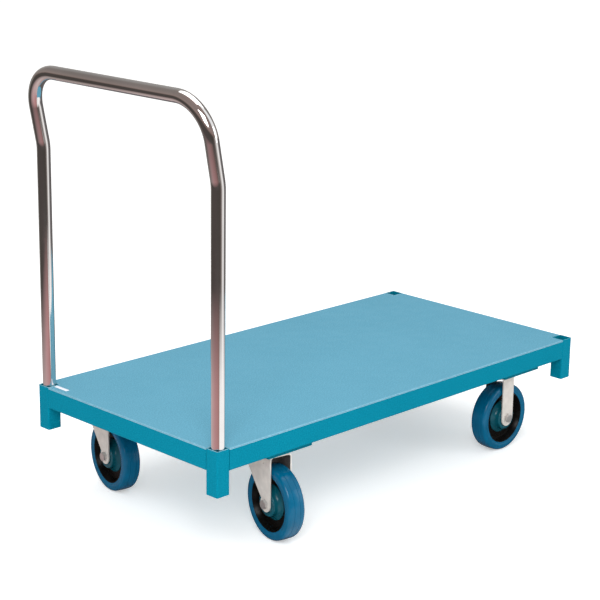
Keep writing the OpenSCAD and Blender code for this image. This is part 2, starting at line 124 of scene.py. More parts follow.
def spread(material, value, fromLow, fromHigh, toLow, toHigh):
    node = addNode(material, "ShaderNodeMapRange")
    for key, number in zip(("From Min", "From Max", "To Min", "To Max"),
                           (fromLow, fromHigh, toLow, toHigh)):
        node.inputs[key].default_value = number
    material.node_tree.links.new(value, node.inputs["Value"])
    return node.outputs["Result"]


def blendColours(material, factor, first, second, mode="MIX"):
    node = addNode(material, "ShaderNodeMix", data_type="RGBA", blend_type=mode)
    factorSocket, firstSocket, secondSocket = node.inputs[0], node.inputs[6], node.inputs[7]
    for socket, source in ((factorSocket, factor), (firstSocket, first), (secondSocket, second)):
        if isinstance(source, bpy.types.NodeSocket):
            material.node_tree.links.new(source, socket)
        elif isinstance(source, tuple):
            socket.default_value = (*source, 1)
        else:
            socket.default_value = source
    return node.outputs[2]


def useOnShader(material, **sockets):
    shader = material.node_tree.nodes["Principled BSDF"]
    for key, value in sockets.items():
        material.node_tree.links.new(value, shader.inputs[key.replace("_", " ")])


def addBump(material, height, strength, distance):
    bump = addNode(material, "ShaderNodeBump")
    bump.inputs["Strength"].default_value = strength
    bump.inputs["Distance"].default_value = distance
    material.node_tree.links.new(height, bump.inputs["Height"])
    useOnShader(material, Normal=bump.outputs["Normal"])


paint = {
    "frame": ((0.0004, 0.172, 0.256), (0.0008, 0.189, 0.279)),  # darker and lighter tone
    # the deck's teal is the frame's paint lightened: a painted sheen for the white the deck top
    # reflects at a low angle
    "deck": ((0.096, 0.276, 0.374), (0.106, 0.293, 0.397)),
    "plate": ((0.0006, 0.105, 0.150), (0.0010, 0.125, 0.175)),
    "edgeHighlightTone": (0.70, 0.84, 0.88),  # painted highlight: the paint goes this pale way where an edge rounds upward
    "edgeHighlightShare": {"frame": 0.55, "deck": 0.10, "plate": 0.20},
    "cloudScale": 6, "grainScale": 330, "grains": 0.50, "grainGain": 1.6, "grainLift": 0.004,
    "shine": 0.012, "glossScale": 28, "roughness": (0.32, 0.46),
    "peelScale": 420, "peelStrength": 0.35, "peelHeight": 0.06 * mm,
}


def paintedSteel(name, tones):
    dark, light = tones
    material = startMaterial(name, light, sum(paint["roughness"]) / 2)
    shader = material.node_tree.nodes["Principled BSDF"]
    shader.inputs["Specular IOR Level"].default_value = paint["shine"]
    cloud = addNoise(material, paint["cloudScale"], 6)
    grain = addNoise(material, paint["grainScale"], 4)
    clouds = ramp(material, cloud, (0.25, dark), (0.75, light))
    grains = spread(material, grain, 0.42, 0.72, 0.0, paint["grains"])
    pale = tuple(paint["grainGain"] * c + paint["grainLift"] for c in light)
    shift = addNoise(material, paint["glossScale"], 3)
    gloss = spread(material, shift, 0.35, 0.65, *paint["roughness"])
    useOnShader(material, Base_Color=blendColours(material, grains, clouds, pale), Roughness=gloss)
    peel = addNoise(material, paint["peelScale"], 2)
    addBump(material, peel, paint["peelStrength"], paint["peelHeight"])
    return material


steel = {
    "mottleScale": 60, "darker": 0.86, "dullScale": 140,
    "brushScale": 900, "brushHeight": 0.02 * mm,
}


def bareSteel(name, colour, roughness, metallic):
    material = startMaterial(name, colour, sum(roughness) / 2, metallic)
    dark = tuple(c * steel["darker"] for c in colour)
    patches = addNoise(material, steel["mottleScale"], 4)
    mottle = ramp(material, patches, (0.30, dark), (0.70, colour))
    dull = spread(material, addNoise(material, steel["dullScale"], 3), 0.3, 0.7, *roughness)
    useOnShader(material, Base_Color=mottle, Roughness=dull)
    addBump(material, addNoise(material, steel["brushScale"], 2), 0.25, steel["brushHeight"])
    return material


chrome = {
    "colour": (0.80, 0.775, 0.77), "dark": (0.74, 0.715, 0.71), "light": (0.83, 0.805, 0.80),
    "toneScale": 9, "smearScale": 35, "roughness": (0.04, 0.13),
    "rippleScale": 260, "rippleHeight": 0.02 * mm,
}


def chromePlate(name):
    material = startMaterial(name, chrome["colour"], 0.07, 1.0)
    haze = addNoise(material, chrome["toneScale"], 3)
    tone = ramp(material, haze, (0.3, chrome["dark"]), (0.7, chrome["light"]))
    smear = addNoise(material, chrome["smearScale"], 4)
    gloss = spread(material, smear, 0.35, 0.75, *chrome["roughness"])
    useOnShader(material, Base_Color=tone, Roughness=gloss)
    addBump(material, addNoise(material, chrome["rippleScale"], 2), 0.08, chrome["rippleHeight"])
    return material


rubber = {
    "colour": (0.0005, 0.095, 0.205),
    "dark": (0.0001, 0.088, 0.176), "light": (0.0003, 0.112, 0.222),
    "dustColour": (0.05, 0.16, 0.26), "dustScale": 75, "dust": 0.12, "shine": 0.24,
    "mottleScale": 30, "glossScale": 45, "roughness": (0.12, 0.24),
    "skinScale": 700, "skinHeight": 0.02 * mm,
}


def elasticRubber(name):
    material = startMaterial(name, rubber["colour"], 0.30)
    shader = material.node_tree.nodes["Principled BSDF"]
    shader.inputs["Specular IOR Level"].default_value = rubber["shine"]
    mottle = addNoise(material, rubber["mottleScale"], 4)
    tone = ramp(material, mottle, (0.3, rubber["dark"]), (0.7, rubber["light"]))
    specks = addNoise(material, rubber["dustScale"], 5)
    dust = spread(material, specks, 0.60, 0.85, 0.0, rubber["dust"])
    shift = addNoise(material, rubber["glossScale"], 3)
    gloss = spread(material, shift, 0.3, 0.7, *rubber["roughness"])
    dusty = blendColours(material, dust, tone, rubber["dustColour"])
    useOnShader(material, Base_Color=dusty, Roughness=gloss)
    addBump(material, addNoise(material, rubber["skinScale"], 2), 0.12, rubber["skinHeight"])
    return material


plastic = {
    "darker": 0.75, "flowScale": 50, "glossScale": 110, "skinScale": 800, "skinHeight": 0.02 * mm,
}


def mouldedPlastic(name, colour, roughness, shine):
    material = startMaterial(name, colour, sum(roughness) / 2)
    material.node_tree.nodes["Principled BSDF"].inputs["Specular IOR Level"].default_value = shine
    dark = tuple(c * plastic["darker"] for c in colour)
    flow = ramp(material, addNoise(material, plastic["flowScale"], 3), (0.35, dark), (0.65, colour))
    gloss = spread(material, addNoise(material, plastic["glossScale"], 3), 0.3, 0.7, *roughness)
    useOnShader(material, Base_Color=flow, Roughness=gloss)
    addBump(material, addNoise(material, plastic["skinScale"], 2), 0.15, plastic["skinHeight"])
    return material


film = {
    "colour": (0.80, 0.83, 0.90), "dark": (0.72, 0.76, 0.86), "light": (0.86, 0.88, 0.93),
    "inkScale": 160,
}


def printedFilm(name):
    material = startMaterial(name, film["colour"], 0.3)
    ink = addNoise(material, film["inkScale"], 3)
    tone = ramp(material, ink, (0.35, film["dark"]), (0.65, film["light"]))
    useOnShader(material, Base_Color=tone)
    return material


materials = {
    # the deck's paint is lightened with a painted sheen
    "deck_paint": paintedSteel("deckPaintWithSheen", paint["deck"]),
    "frame_paint": paintedSteel("framePaint", paint["frame"]),
    "plate_paint": paintedSteel("platePaint", paint["plate"]),
    "label_film": printedFilm("labelFilm"),
    "chrome_tube": chromePlate("chromeTube"),
    "fork_zinc": bareSteel("forkZinc", (0.80, 0.76, 0.71), (0.42, 0.60), 0.35),
    "fastener_zinc": bareSteel("fastenerZinc", (0.62, 0.61, 0.60), (0.28, 0.45), 0.85),
    "bearing_steel": bareSteel("bearingSteel", (0.50, 0.50, 0.51), (0.22, 0.35), 1.0),
    "guard_plastic": mouldedPlastic("guardPlastic", (0.002, 0.080, 0.112), (0.16, 0.30), 0.25),
    "rim_plastic": mouldedPlastic("rimPlastic", (0.004, 0.0035, 0.003), (0.22, 0.36), 0.10),
    "tyre_rubber": elasticRubber("tyreRubber"),
}
# paler copies of each paint for the upward rounded edges: a painted highlight
edgeHighlightPaints = {}
for part, share in paint["edgeHighlightShare"].items():
    tones = [tuple((1 - share) * c + share * e for c, e in zip(tone, paint["edgeHighlightTone"]))
             for tone in paint[part]]
    edgeHighlightPaints[part + "_paint"] = paintedSteel(part + "EdgeHighlightPaint", tones)
forkPaintedShade = bareSteel("forkPaintedShade", (0.135, 0.120, 0.115), (0.50, 0.68), 0.20)  # painted shade: a darker finish on the forks' insides, for the shade between fork and tyre
slotOf = {row["node"]: row["material_slot"] for row in frame["record"]["subparts"]}
for node, thing in nodes.items():
    thing.data.materials.clear()
    thing.data.materials.append(materials[slotOf[node]])
print("materials made:", len(materials))


def finishPiece(name, bm, node, sharpAngle=35):
    mesh = bpy.data.meshes.new(name)
    bm.to_mesh(mesh)
    bm.free()
    mesh.shade_smooth()
    mesh.set_sharp_from_angle(angle=math.radians(sharpAngle))
    mesh.materials.append(materials[slotOf[node]])
    piece = bpy.data.objects.new(name, mesh)
    bpy.context.scene.collection.objects.link(piece)
    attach(piece, nodes[node]["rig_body"])
    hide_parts(node)
    return piece


def keepFlat(piece):
    # large faces keep their own normal, so long flat walls don't shade like curved ones
    normals = piece.modifiers.new("normals", "WEIGHTED_NORMAL")
    normals.keep_sharp = True


def inRecess(edge, node):
    # the label's shallow recess is left alone, so it doesn't hold back the deck's own edges
    if node != "deck_sheet":
        return False
    low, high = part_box("deck_label")
    middle, play = (edge.verts[0].co + edge.verts[1].co) / 2, 1 * mm
    return all(low[i] - play < middle[i] < high[i] + play for i in range(3))


def bevelSharp(bm, width, node):
    bm.normal_update()
    limit = math.radians(30)
    sharp = [e for e in bm.edges if len(e.link_faces) == 2 and e.calc_face_angle(0) > limit
             and not inRecess(e, node)]
    bmesh.ops.bevel(bm, geom=sharp, offset=width, offset_type="OFFSET", affect="EDGES",
                    segments=2, profile=0.5, clamp_overlap=True, material=-1)


def easedCopy(node, width):
    bm = bmesh.new()
    bm.from_mesh(nodes[node].data)
    bmesh.ops.remove_doubles(bm, verts=bm.verts, dist=0.01 * mm)
    bmesh.ops.dissolve_limit(bm, angle_limit=math.radians(0.4), verts=bm.verts, edges=bm.edges)
    bevelSharp(bm, width, node)
    piece = finishPiece(node + "_eased", bm, node)
    paintEdgeHighlights(piece, node)
    keepFlat(piece)


def paintEdgeHighlights(piece, node):
    # rounded faces that face upward take the paler paint: a painted highlight along the edges
    if slotOf[node] in edgeHighlightPaints:
        piece.data.materials.append(edgeHighlightPaints[slotOf[node]])
        for face in piece.data.polygons:
            rounded = max(abs(c) for c in face.normal) < 0.97
            face.material_index = int(rounded and face.normal.z > 0.05)


def arc(centreAlong, centreRadius, radius, start, end, steps):
    angles = [math.radians(start + (end - start) * i / steps) for i in range(steps + 1)]
    return [(centreAlong + radius * math.cos(angle), centreRadius + radius * math.sin(angle))
            for angle in angles]


# profiles are (along the axle, radius) points, turned about the axle
def turn(profile, steps=96):
    bm = bmesh.new()
    ring = [bm.verts.new((along, 0, radius)) for along, radius in profile]
    loop = [bm.edges.new((ring[i - 1], ring[i])) for i in range(len(ring))]
    bmesh.ops.spin(bm, geom=ring + loop, cent=(0, 0, 0), axis=(1, 0, 0), dvec=(0, 0, 0),
                   angle=2 * math.pi, steps=steps, use_merge=True)
    bmesh.ops.recalc_face_normals(bm, faces=bm.faces)
    return bm


def bothSides(half):
    return half + [(-along, radius) for along, radius in reversed(half)]


# the welded frame, the deck and the fasteners keep their solids and get eased edges
edgeWidths = {
    "deck_sheet": 0.5 * mm, "deck_label": 0.12 * mm, "side_rail": 0.5 * mm, "end_rail": 0.5 * mm,
    "stringer": 0.5 * mm, "cross_rail": 0.5 * mm, "post_": 0.4 * mm, "mount_plate": 0.7 * mm,
    "top_plate": 0.6 * mm, "plate_bolts": 0.3 * mm, "plate_nuts": 0.3 * mm,
    "axle_bolt": 0.5 * mm, "axle_nut": 0.5 * mm, "kingpin": 0.6 * mm,
}
for node in sorted(nodes):
    for part, width in edgeWidths.items():
        if part in node:
            easedCopy(node, width)
print("frame and fasteners eased")


handle = {
    "radius": 15 * mm, "wall": 2 * mm, "straightTop": 538 * mm,
    "crankRadius": 120 * mm, "crankAngle": 11, "upperLeg": 77 * mm, "cornerRadius": 85 * mm,
    "ringSides": 56, "crankSteps": 10, "cornerSteps": 32,
}


def lengthen(bm, edges, move):
    grown = bmesh.ops.extrude_edge_only(bm, edges=edges)["geom"]
    bmesh.ops.translate(bm, verts=[g for g in grown if isinstance(g, bmesh.types.BMVert)], vec=move)
    return [g for g in grown if isinstance(g, bmesh.types.BMEdge)]


def bendTube(bm, edges, centre, axis, degrees, steps):
    last = bmesh.ops.spin(bm, geom=edges, cent=centre, axis=axis, dvec=(0, 0, 0),
                          angle=math.radians(degrees), steps=steps)["geom_last"]
    return [g for g in last if isinstance(g, bmesh.types.BMEdge)]


def buildHandle():
    low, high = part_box("push_handle")
    legX, legY = high.x - handle["radius"], high.y - handle["radius"]
    lean = math.radians(handle["crankAngle"])
    up = Vector((-math.sin(lean), 0, math.cos(lean)))
    across = Vector((0, 1, 0))
    crank = Vector((legX - handle["crankRadius"], 0, handle["straightTop"]))
    legTop = crank + handle["crankRadius"] * Vector((math.cos(lean), 0, math.sin(lean)))
    shoulder = legTop + up * handle["upperLeg"]
    inset = across * (legY - handle["cornerRadius"])
    over = up.cross(across)

    bm = bmesh.new()
    bmesh.ops.create_circle(bm, segments=handle["ringSides"], radius=handle["radius"])
    bmesh.ops.translate(bm, verts=bm.verts, vec=(legX, -legY, low.z))
    edges = lengthen(bm, bm.edges[:], (0, 0, handle["straightTop"] - low.z))
    edges = bendTube(bm, edges, crank, (0, -1, 0), handle["crankAngle"], handle["crankSteps"])
    edges = lengthen(bm, edges, up * handle["upperLeg"])
    edges = bendTube(bm, edges, shoulder - inset, over, 90, handle["cornerSteps"])
    edges = lengthen(bm, edges, 2 * inset)
    edges = bendTube(bm, edges, shoulder + inset, over, 90, handle["cornerSteps"])
    edges = lengthen(bm, edges, -up * handle["upperLeg"])
    edges = bendTube(bm, edges, crank, (0, 1, 0), handle["crankAngle"], handle["crankSteps"])
    lengthen(bm, edges, (0, 0, low.z - handle["straightTop"]))
    bmesh.ops.recalc_face_normals(bm, faces=bm.faces)
    outermost = min(bm.faces, key=lambda f: f.calc_center_median().x)
    if outermost.normal.x > 0:
        bmesh.ops.reverse_faces(bm, faces=bm.faces)
    piece = finishPiece("pushHandleTube", bm, "push_handle", 60)
    shell = piece.modifiers.new("wall", "SOLIDIFY")
    shell.thickness = handle["wall"]
    shell.offset = -1
    keepFlat(piece)


buildHandle()
print("handle bent")


casters = ["right_swivel", "left_swivel", "right_fixed", "left_fixed"]
joints = {joint["name"]: joint for joint in frame["joints"]}


def wheelPlace(caster):
    joint = joints[caster + "_wheel_roll"]
    turnTo = Vector((1, 0, 0)).rotation_difference(Vector(joint["axis"])).to_matrix().to_4x4()
    return Matrix.Translation(joint["pos_m"]) @ turnTo


tyre = {
    "radius": 84 * mm, "half": 22 * mm, "seat": 64 * mm, "shoulder": 8 * mm, "crown": 0.5 * mm,
    "grooveAt": 7.5 * mm, "grooveWidth": 1.6 * mm, "grooveDepth": 0.9 * mm, "bead": 1.2 * mm,
    "wallFoot": 4 * mm, "wallKnee": 5.4 * mm, "wallStart": 7 * mm,  # out from the seat
    "sideStep": 0.7 * mm, "sideTop": 75 * mm, "soft": 0.3 * mm,
}


def tyreProfile():
    r, half, seat, shoulder = tyre["radius"], tyre["half"], tyre["seat"], tyre["shoulder"]
    groove, width, depth = tyre["grooveAt"], tyre["grooveWidth"] / 2, tyre["grooveDepth"]
    bead, soft, sideTop = tyre["bead"], tyre["soft"], tyre["sideTop"]
    side = [(0, seat), (half - 2 * bead, seat)]
    side += arc(half - 2 * bead, seat + bead, bead, -90, 0, 4)
    side += [(half - bead, seat + tyre["wallFoot"]), (half - soft, seat + tyre["wallKnee"]),
             (half, seat + tyre["wallStart"]), (half, sideTop - soft), (half - soft, sideTop)]
    roundAlong, roundRadius = half - tyre["sideStep"] - shoulder, r - tyre["crown"] - shoulder
    side += arc(roundAlong, roundRadius, shoulder, 0, 90, 10)
    side += [(groove + width, r - soft), (groove + width / 2, r - depth),
             (groove - width / 2, r - depth), (groove - width, r - 0.25 * mm), (groove / 2, r)]
    return bothSides(side)


rim = {
    "radius": 63.9 * mm, "half": 20 * mm, "lip": 2.4 * mm, "lipRound": 0.8 * mm,
    "dishFoot": 54 * mm, "web": 5 * mm, "fillet": 2.5 * mm,
    "hub": 25 * mm, "hubEnd": 22.5 * mm, "bore": 20 * mm,
    "bearingSeat": 12 * mm, "bearingStep": 3 * mm,
}


def rimProfile():
    r, half, web, hub = rim["radius"], rim["half"], rim["web"], rim["hub"]
    lip, rounding, fillet = rim["lip"], rim["lipRound"], rim["fillet"]
    seatEnd, stepBore = rim["hubEnd"] - rim["bearingSeat"], rim["bore"] - rim["bearingStep"]
    side = [(0, r)]
    side += arc(half - rounding, r - rounding, rounding, 90, 0, 3)
    side += arc(half - rounding, r - lip + rounding, rounding, 0, -60, 3)
    side += arc(web + fillet, rim["dishFoot"], fillet, 150, 180, 3)
    side += arc(web + fillet, hub + fillet, fillet, 180, 270, 4)
    side += [(rim["hubEnd"], hub), (rim["hubEnd"], rim["bore"]), (seatEnd, rim["bore"]),
             (seatEnd, stepBore), (0, stepBore)]
    return side + [(-along, radius) for along, radius in reversed(side[1:-1])]


guard = {
    "face": 24.2 * mm, "wall": 1.5 * mm, "bore": 9.3 * mm, "barrel": 29 * mm, "round": 3 * mm,
    "ringIn": 21.5 * mm, "ringDepth": 0.9 * mm, "ringSlope": (0.7 * mm, 1.2 * mm),
    "barrelFoot": 15.2 * mm, "barrelTaper": 0.4 * mm,
    "skirt": ((4 * mm, 3 * mm), (1.2 * mm, 6.5 * mm)),  # over the foot, out from the barrel
    "foot": 40 * mm, "footTop": 7.4 * mm, "footBottom": 5.2 * mm, "inside": 25.2 * mm,
}


def guardProfile():
    face, barrel, rounding, wall = guard["face"], guard["barrel"], guard["round"], guard["wall"]
    ringFloor, ringIn = face - guard["ringDepth"], guard["ringIn"]
    slopeFoot, slopeTop = guard["ringSlope"]
    foot, footTop, footBottom = guard["foot"], guard["footTop"], guard["footBottom"]
    outline = [(face - wall, guard["bore"]), (ringFloor, guard["bore"]), (ringFloor, ringIn),
               (face - 0.2 * mm, ringIn + slopeFoot), (face, ringIn + slopeTop)]
    outline += arc(face - rounding, barrel - rounding, rounding, 0, 90, 6)
    outline += [(guard["barrelFoot"], barrel + guard["barrelTaper"])]
    outline += [(footTop + rise, barrel + out) for rise, out in guard["skirt"]]
    outline += [(footTop, foot - 0.5 * mm), (footTop - 0.5 * mm, foot),
                (footBottom, foot), (footBottom, foot - 4 * mm),
                (guard["barrelFoot"] - 2 * mm, guard["inside"] + 0.6 * mm),
                (face - wall, guard["inside"])]
    return outline


def buildWheel(caster):
    place = wheelPlace(caster)
    for part, profile in (("tyre", tyreProfile()), ("rim", rimProfile())):
        bm = turn(profile)
        bmesh.ops.transform(bm, matrix=place, verts=bm.verts)
        finishPiece(f"{caster}_{part}_turned", bm, f"{caster}_{part}", 32)
    bm = turn(guardProfile())
    twin = bmesh.ops.duplicate(bm, geom=bm.verts[:] + bm.edges[:] + bm.faces[:])["geom"]
    bmesh.ops.rotate(bm, verts=[g for g in twin if isinstance(g, bmesh.types.BMVert)],
                     cent=(0, 0, 0), matrix=Matrix.Rotation(math.pi, 3, "Z"))
    bmesh.ops.transform(bm, matrix=place, verts=bm.verts)
    finishPiece(f"{caster}_guards_turned", bm, f"{caster}_thread_guards", 32)


for caster in casters:
    buildWheel(caster)
print("wheels turned")


fork = {
    "wall": 3 * mm, "outerHalf": 28 * mm, "bend": 9 * mm, "edge": 0.7 * mm,
    "axleDrop": 122 * mm, "axleHole": 6.2 * mm,
    "swivelCrown": 10 * mm, "trail": 28 * mm, "legRadius": 18 * mm,
    "reach": 70 * mm, "shoulder": 74 * mm,
    "creaseDepth": 0.9 * mm, "creaseHalf": 6 * mm, "creaseStart": 8 * mm, "creaseEnd": 80 * mm,
    "dimple": 2.2 * mm, "dimpleDepth": 1.2 * mm, "dimpleApart": 36 * mm, "dimpleAt": 20 * mm,
    "pinHole": 7.1 * mm, "pinRoom": 3 * mm, "holeRoom": 2 * mm,
    "fixedCrown": 4 * mm, "fixedHalf": 20 * mm, "flare": 20 * mm,
    "crownHalf": 42 * mm, "crownEdge": 5 * mm,
    "slotZ": -24 * mm, "slot": 2.0 * mm, "slotHalf": 7 * mm, "slotRoom": 3.4 * mm,
    "dotZ": -34 * mm, "dotY": 14 * mm, "dot": 1.8 * mm, "dotRoom": 3.2 * mm, "pressed": 1.0 * mm,
}
race = {
    "inner": 7.1 * mm, "outer": 34 * mm, "height": 4.5 * mm,
    "groove": 3.1 * mm, "grooveAt": 28 * mm, "grooveRise": 0.75 * mm,
    "innerEdge": 0.6 * mm, "outerEdge": 1.2 * mm,
}


def headingOf(caster):
    axis = Vector(joints[caster + "_wheel_roll"]["axis"])
    return math.atan2(axis.y, axis.x)


def forkPlace(caster):
    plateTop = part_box(caster + "_mount_plate")[0].z
    if caster + "_turn" in joints:
        pivot = Vector(joints[caster + "_turn"]["pos_m"])
    else:
        pivot = Vector(joints[caster + "_wheel_roll"]["pos_m"])
    flip = math.pi if caster == "left_fixed" else 0  # this one's outer leg faces the other way
    turned = Matrix.Rotation(headingOf(caster) + flip, 4, "Z")
    return Matrix.Translation((pivot.x, pivot.y, plateTop)) @ turned


# a fork starts as a flat blank: its right half is cut and pressed, mirrored, then bent over
def layFlat(outline, acrossCuts, alongCuts):
    bm = bmesh.new()
    bm.faces.new([bm.verts.new((across, along, 0)) for across, along in outline])
    cuts = [(c, (1, 0, 0)) for c in acrossCuts] + [(c, (0, 1, 0)) for c in alongCuts]
    for position, normal in cuts:
        bmesh.ops.bisect_plane(bm, geom=bm.verts[:] + bm.edges[:] + bm.faces[:], dist=0.001 * mm,
                               plane_co=Vector(normal) * position, plane_no=normal)
    return bm


def pressRound(bm, across, along, radius, room, depth=0, stretch=0):
    inside = [f for f in bm.faces if abs(f.calc_center_median().x - across) < room
              and abs(f.calc_center_median().y - along) < room + stretch]
    around = dict.fromkeys(e for f in inside for e in f.edges)  # keeps its order, unlike a set
    border = [e for e in around if sum(f in inside for f in e.link_faces) == 1]
    bmesh.ops.delete(bm, geom=inside, context="FACES")
    ring = bmesh.ops.create_circle(bm, segments=24, radius=radius)["verts"]
    for vert in ring:
        vert.co += Vector((across, along + math.copysign(stretch, vert.co.y), 0))
    hoop = list(dict.fromkeys(e for v in ring for e in v.link_edges))
    bmesh.ops.bridge_loops(bm, edges=border + hoop)
    if depth:
        floorFace = bm.faces.new(ring)
        bmesh.ops.inset_individual(bm, faces=[floorFace], thickness=radius * 0.35)
        bmesh.ops.translate(bm, verts=floorFace.verts, vec=(0, 0, -depth))


def bendSheet(bm, crownTop):
    flat = fork["outerHalf"] - fork["bend"]
    bendEnd = flat + fork["bend"] * math.pi / 2
    for vert in bm.verts:
        across, along, lift = vert.co
        side = -1 if across < 0 else 1
        bent = min(max((abs(across) - flat) / fork["bend"], 0), math.pi / 2)
        radius = fork["bend"] + lift
        x = min(abs(across), flat) + radius * math.sin(bent)
        z = -crownTop - fork["bend"] + radius * math.cos(bent) - max(abs(across) - bendEnd, 0)
        vert.co = (side * x, along, z)


def developed(z, crownTop):
    flat = fork["outerHalf"] - fork["bend"]
    return flat + fork["bend"] * math.pi / 2 - crownTop - fork["bend"] - z


def giveWall(piece, thickness):
    shell = piece.modifiers.new("wall", "SOLIDIFY")
    shell.thickness = thickness
    shell.offset = -1
    shell.use_even_offset = True
    shell.material_offset = len(piece.data.materials) - 1  # the inside shell takes the last material: on a fork that is the darker painted shade
    edge = piece.modifiers.new("edge", "BEVEL")
    edge.width = fork["edge"]
    edge.segments = 2
    edge.limit_method = "ANGLE"
    edge.angle_limit = math.radians(50)
    keepFlat(piece)


def finishFork(bm, caster):
    bmesh.ops.remove_doubles(bm, verts=bm.verts, dist=0.01 * mm)
    bmesh.ops.recalc_face_normals(bm, faces=bm.faces)
    top = max(bm.faces, key=lambda f: f.calc_center_median().z)
    if top.normal.z < 0:
        bmesh.ops.reverse_faces(bm, faces=bm.faces)
    bmesh.ops.transform(bm, matrix=forkPlace(caster), verts=bm.verts)
    piece = finishPiece(caster + "_fork_pressed", bm, caster + "_fork", 40)
    # the forks' insides get a darker material: painted shade between fork and tyre
    piece.data.materials.append(forkPaintedShade)
    giveWall(piece, fork["wall"])


def mirrorBlank(bm):
    whole = bm.verts[:] + bm.edges[:] + bm.faces[:]
    bmesh.ops.mirror(bm, geom=whole, axis="X", merge_dist=0.01 * mm)


def bendCuts():
    flat, bend = fork["outerHalf"] - fork["bend"], fork["bend"] * math.pi / 2
    return [flat + bend * i / 8 for i in range(9)]


def swivelFork(caster):
    crown, radius, trail = fork["swivelCrown"], fork["legRadius"], fork["trail"]
    axle = developed(-fork["axleDrop"], crown)
    reach, rise = fork["reach"], fork["shoulder"]
    turned = math.atan2(rise, reach) - math.acos(radius / math.hypot(reach, rise))
    lastAngle = math.pi / 2 - turned
    outline = [(0, reach - trail), (0, -radius - trail)]
    outline += [(axle + radius * math.sin(a), -trail - radius * math.cos(a))
                for a in (i * math.pi / 16 for i in range(8))]
    outline += [(axle + radius * math.cos(b), -trail + radius * math.sin(b))
                for b in (i * lastAngle / 8 for i in range(9))]
    outline += [(axle - rise, reach - trail)]
    middle = (reach - radius) / 2 - trail
    hole = fork["axleHole"] + fork["holeRoom"]
    pin = fork["pinHole"] + fork["pinRoom"]
    small = fork["dimple"] + fork["dimpleDepth"]
    dimpleAcross = developed(-crown - fork["dimpleAt"], crown)
    ys = [middle - fork["dimpleApart"] / 2, middle + fork["dimpleApart"] / 2]
    acrossCuts = bendCuts() + [axle - hole, axle + hole, dimpleAcross - small, dimpleAcross + small]
    acrossCuts += [dimpleAcross + small + 5 * mm * i for i in range(1, 17)] + [pin]
    alongCuts = [-trail - hole, -trail + hole, middle - fork["creaseHalf"], middle,
                 middle + fork["creaseHalf"], -pin, pin]
    alongCuts += [y + side * small for y in ys for side in (-1, 1)]
    bm = layFlat(outline, acrossCuts, alongCuts)
    bendEnd = developed(-crown - fork["bend"], crown)
    for vert in bm.verts:
        down = vert.co.x - bendEnd
        fadeIn = min(max((down - fork["creaseStart"]) / (20 * mm), 0), 1)
        fadeOut = min(max((fork["creaseEnd"] - down) / (30 * mm), 0), 1)
        reachOut = max(1 - abs(vert.co.y - middle) / fork["creaseHalf"], 0)
        vert.co.z -= fork["creaseDepth"] * fadeIn * fadeOut * reachOut
    pressRound(bm, axle, -trail, fork["axleHole"], hole)
    for y in ys:
        pressRound(bm, dimpleAcross, y, fork["dimple"], small, fork["dimpleDepth"])
    mirrorBlank(bm)
    pressRound(bm, 0, 0, fork["pinHole"], pin)
    bendSheet(bm, crown)
    finishFork(bm, caster)
    turnRace(caster)


def turnRace(caster):
    crown, inner, outer = fork["swivelCrown"], race["inner"], race["outer"]
    ringTop, ringFoot = race["height"] - crown, -crown - 0.5 * mm
    innerEdge, outerEdge = race["innerEdge"], race["outerEdge"]
    profile = [(inner, ringFoot), (inner, ringTop - innerEdge), (inner + innerEdge, ringTop)]
    profile += arc(race["grooveAt"], ringTop + race["grooveRise"], race["groove"], 194, 346, 10)
    profile += [(outer - outerEdge, ringTop), (outer, ringTop - outerEdge), (outer, ringFoot)]
    bm = turn([(height, radius) for radius, height in profile])
    upright = Matrix.Rotation(-math.pi / 2, 3, "Y")
    bmesh.ops.rotate(bm, verts=bm.verts, cent=(0, 0, 0), matrix=upright)
    bmesh.ops.transform(bm, matrix=forkPlace(caster), verts=bm.verts)
    finishPiece(f"{caster}_fork_race", bm, caster + "_fork", 35)


def fixedFork(caster):
    crown, half, flare = fork["fixedCrown"], fork["fixedHalf"], fork["flare"]
    axle = developed(-fork["axleDrop"], crown)
    flareTop = developed(-crown - fork["crownEdge"], crown)
    hole = fork["axleHole"] + fork["holeRoom"]
    angles = [i * math.pi / 16 for i in range(9)]
    front = [(axle + half * math.cos(a), half * math.sin(a)) for a in angles]
    bow = [(flareTop + flare * (1 - math.sin(a)), half + flare * (1 - math.cos(a)))
           for a in angles]
    edge = front + bow + [(flareTop, fork["crownHalf"]), (0, fork["crownHalf"])]
    outline = edge + [(across, -along) for across, along in reversed(edge[1:])]
    slotAt, slotRoom = developed(fork["slotZ"], crown), fork["slotRoom"]
    dotAt, dotRoom = developed(fork["dotZ"], crown), fork["dotRoom"]
    slotEnd = fork["slotHalf"] + slotRoom + 0.1 * mm
    acrossCuts = bendCuts() + [axle - hole, axle + hole, slotAt - slotRoom, slotAt + slotRoom,
                               dotAt - dotRoom, dotAt + dotRoom]
    acrossCuts += [dotAt + 14 * mm * i for i in range(1, 5)]
    alongCuts = [-hole, hole, -slotEnd, slotEnd, fork["dotY"] - dotRoom, fork["dotY"] + dotRoom]
    bm = layFlat(outline, acrossCuts, alongCuts)
    pressRound(bm, axle, 0, fork["axleHole"], hole)
    pressRound(bm, slotAt, 0, fork["slot"], slotRoom, fork["pressed"], fork["slotHalf"])
    pressRound(bm, dotAt, fork["dotY"], fork["dot"], dotRoom, fork["pressed"])
    mirrorBlank(bm)
    bendSheet(bm, crown)
    finishFork(bm, caster)
    buildFixedPlate(caster)


plate = {
    "half": (50 * mm, 60 * mm), "corner": 9 * mm, "thick": 4 * mm,
    "hole": 4.5 * mm, "holeRoom": 2.5 * mm, "bolts": (36 * mm, 48 * mm),
}


